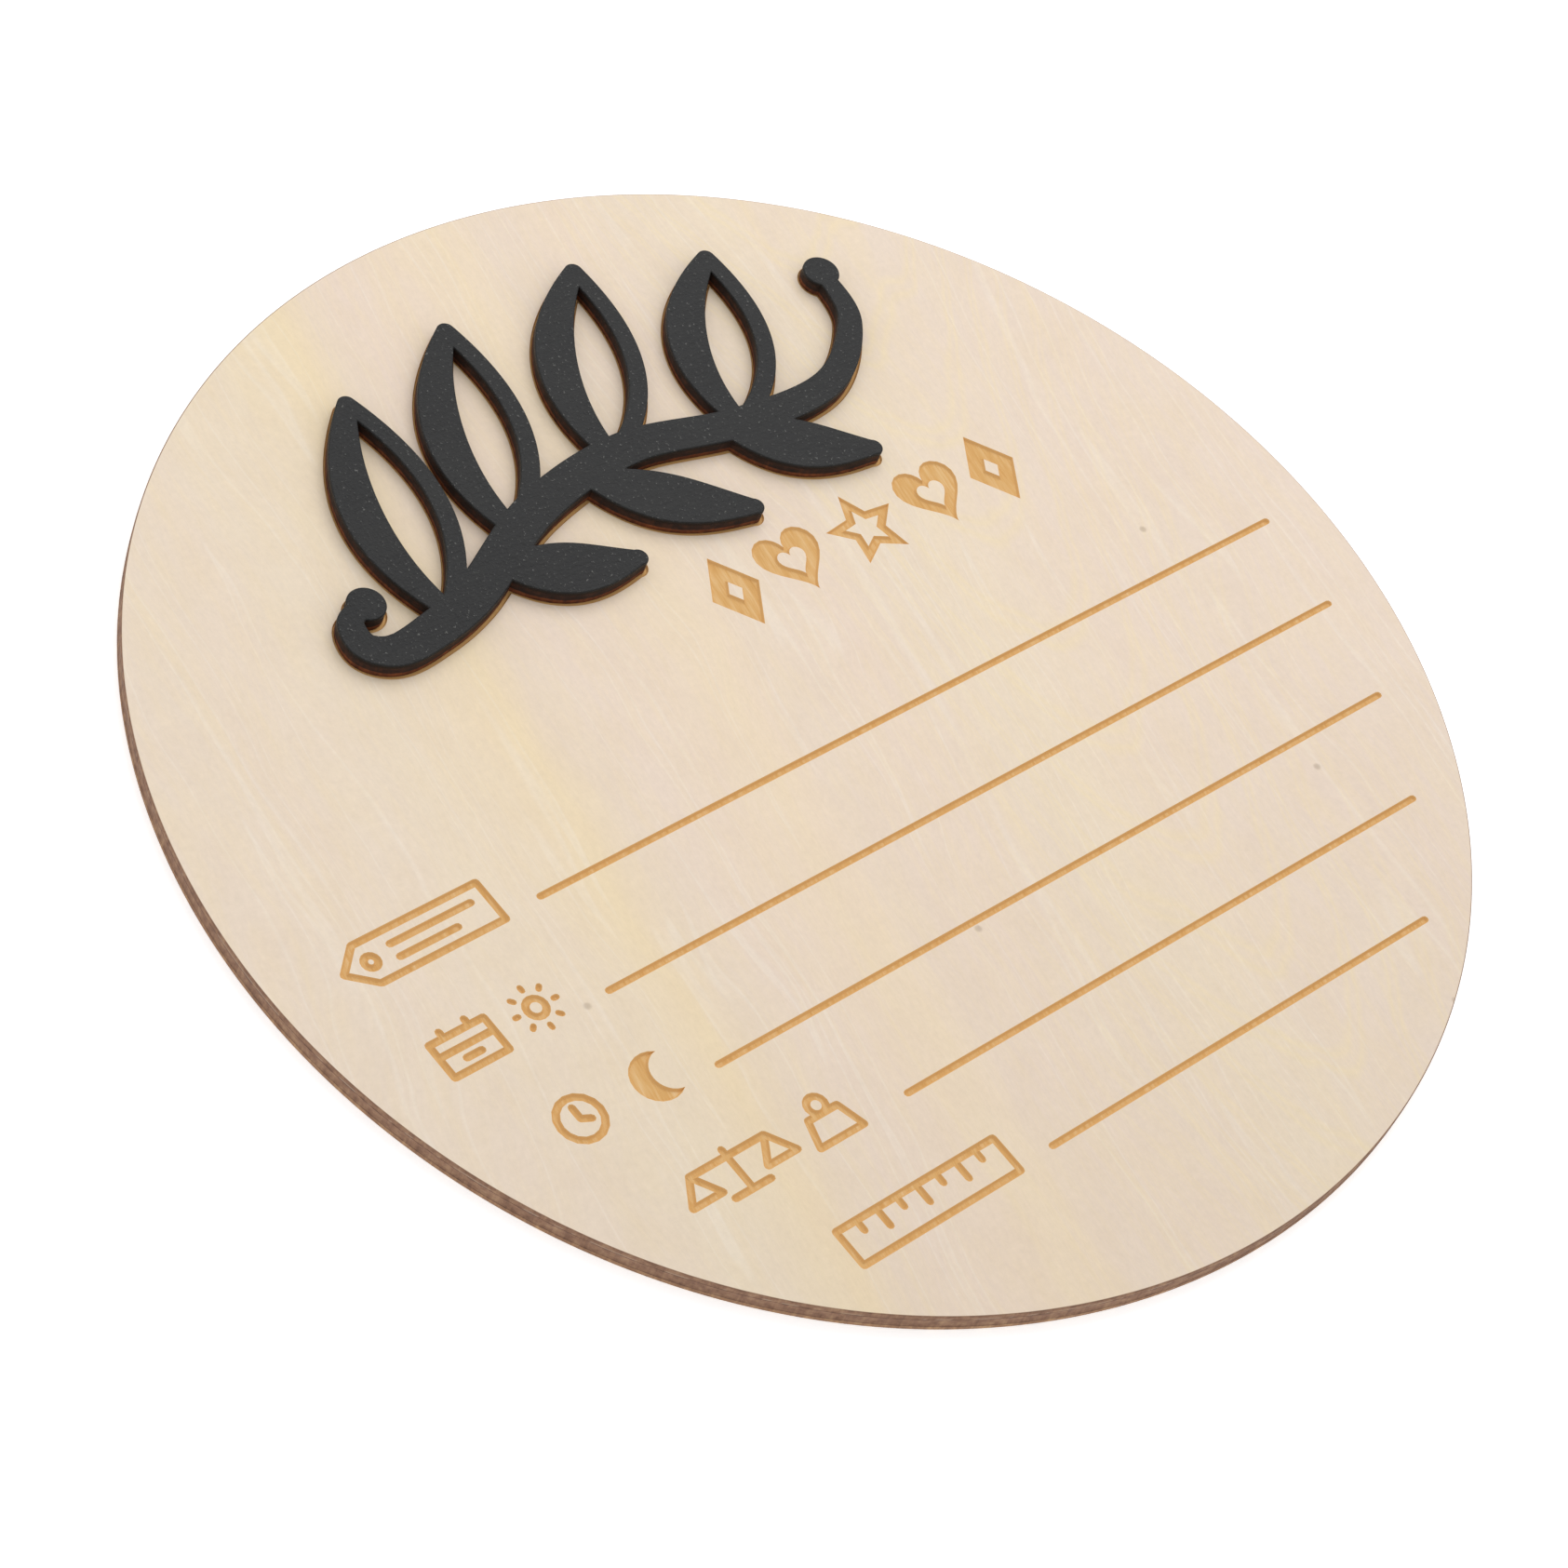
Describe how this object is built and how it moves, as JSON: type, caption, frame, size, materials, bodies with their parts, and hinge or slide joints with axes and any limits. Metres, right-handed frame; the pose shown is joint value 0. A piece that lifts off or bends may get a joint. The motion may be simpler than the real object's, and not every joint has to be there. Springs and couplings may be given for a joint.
{
  "type": "round wooden plaque",
  "caption": "Thin round plywood wall plaque with engraved ruled lines and pictograms, and a raised black leafy sprig glued into a shallow seat on its face.",
  "frame": {"origin": "centre of the flat back", "axes": "+Z out of the decorated face, +Y from the ruled lines towards the sprig, +X along the ruled lines to the right"},
  "size_m": [0.15, 0.15, 0.0042],
  "materials": {
    "pale_veneer": "sanded, unfinished",
    "core_veneer": "laser cut edge, lightly charred",
    "scorched_veneer": "laser cut edge, charred",
    "scorched_glue": "dark cured glue line",
    "clear_adhesive": "clear hard glue film",
    "black_paint": "satin black paint over veneer"
  },
  "bodies": {
    "root": {"disc_back_veneer": "pale_veneer", "disc_lower_glue_line": "scorched_glue", "disc_core_veneer": "core_veneer", "disc_upper_glue_line": "scorched_glue", "disc_face_veneer": "pale_veneer", "sprig_adhesive": "clear_adhesive", "sprig_back_veneer": "scorched_veneer", "sprig_lower_glue_line": "scorched_glue", "sprig_core_veneer": "scorched_veneer", "sprig_upper_glue_line": "scorched_glue", "sprig_face_veneer": "black_paint"}
  },
  "joints": []
}
